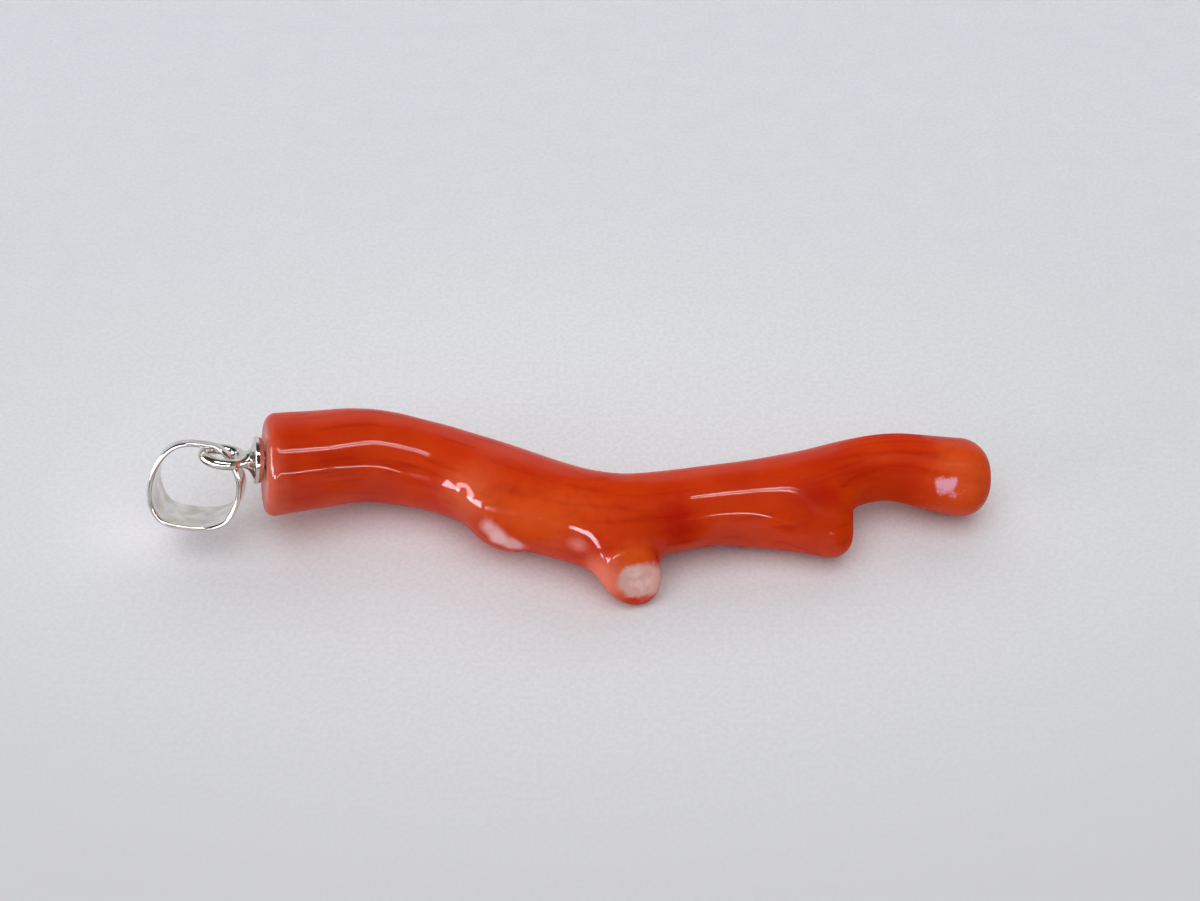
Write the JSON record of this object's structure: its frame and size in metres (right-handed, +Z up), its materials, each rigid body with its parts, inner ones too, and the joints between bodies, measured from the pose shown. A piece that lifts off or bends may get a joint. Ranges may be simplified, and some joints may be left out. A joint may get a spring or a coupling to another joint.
{
  "type": "red coral branch pendant",
  "caption": "Polished red coral branch, lying flat, with a ground front twig, a sawn side stub, a pegged silver cap and eye, and a silver strap bail that swings on the eye.",
  "frame": {"origin": "on the table, below the middle of the bounding box", "axes": "+X along the branch, from the silver bail to the rounded tip; +Y to the back, away from the front twig; +Z up"},
  "size_m": [0.0592, 0.0144, 0.0088],
  "materials": {
    "coral": "polished",
    "silver": "polished"
  },
  "bodies": {
    "branch": {"coral_stem_base": "coral", "coral_front_twig": "coral", "coral_stem_middle": "coral", "coral_side_stub": "coral", "coral_stem_tip": "coral", "eye_cap": "silver"},
    "bail_strap": {"bail": "silver"}
  },
  "joints": [
    {"name": "bail_swing", "type": "hinge", "parent": "branch", "child": "bail_strap", "pos_m": [-0.02576, 0.00146, 0.00658], "axis": [-0.0034, 0.9123, -0.4094], "range_deg": [0, 160]}
  ]
}
